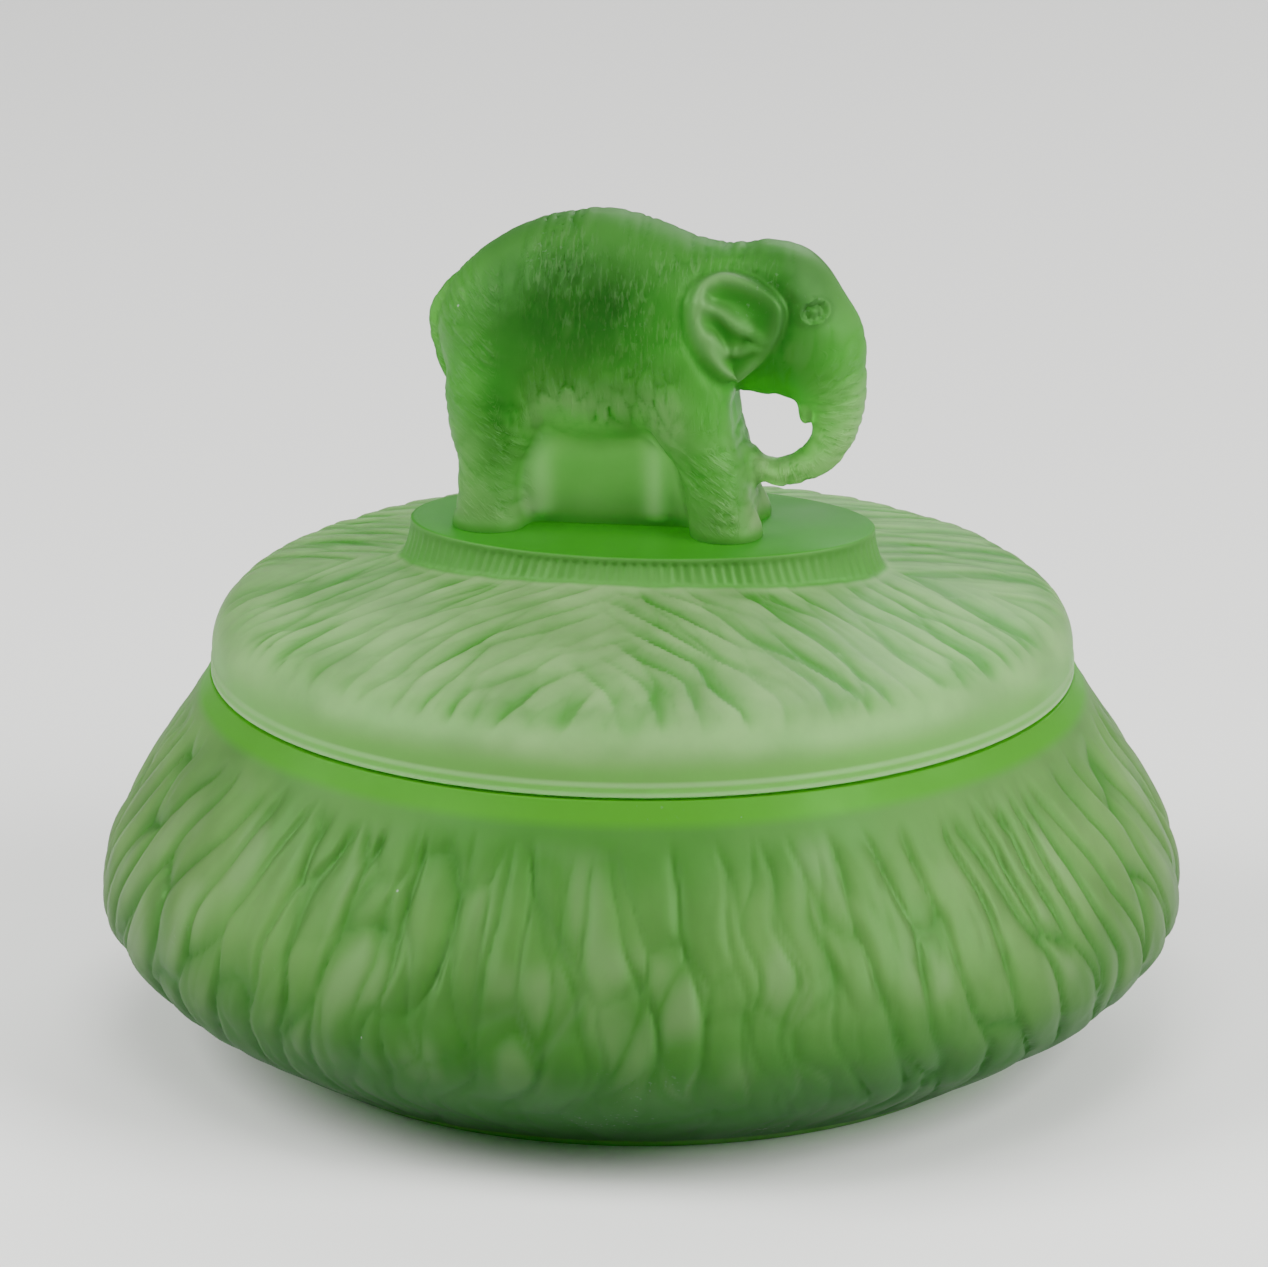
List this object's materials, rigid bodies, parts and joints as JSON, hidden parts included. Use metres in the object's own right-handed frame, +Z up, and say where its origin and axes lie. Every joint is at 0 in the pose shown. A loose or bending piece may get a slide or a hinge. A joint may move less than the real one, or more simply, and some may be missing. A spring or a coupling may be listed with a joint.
{
  "type": "powder jar",
  "caption": "Squat round pressed-glass powder jar with ridged sides and a lift-off domed lid that carries an elephant figure on an oval plinth.",
  "frame": {"origin": "centre of the foot's resting plane, on the turning axis of the bowl and lid", "axes": "+Z up along the turning axis, +X the way the elephant faces, +Y to the elephant's left"},
  "size_m": [0.14, 0.14, 0.1098],
  "materials": {
    "bowl_glass": "satin, acid-frosted, translucent green",
    "lid_glass": "satin, acid-frosted, translucent green, milkier than the bowl"
  },
  "bodies": {
    "bowl": {"jar_bowl": "bowl_glass"},
    "lid": {"lid": "lid_glass"}
  },
  "joints": [
    {"name": "lid_lift", "type": "slide", "parent": "bowl", "child": "lid", "axis": [0, 0, 1], "range_m": [0, 0.08]}
  ]
}
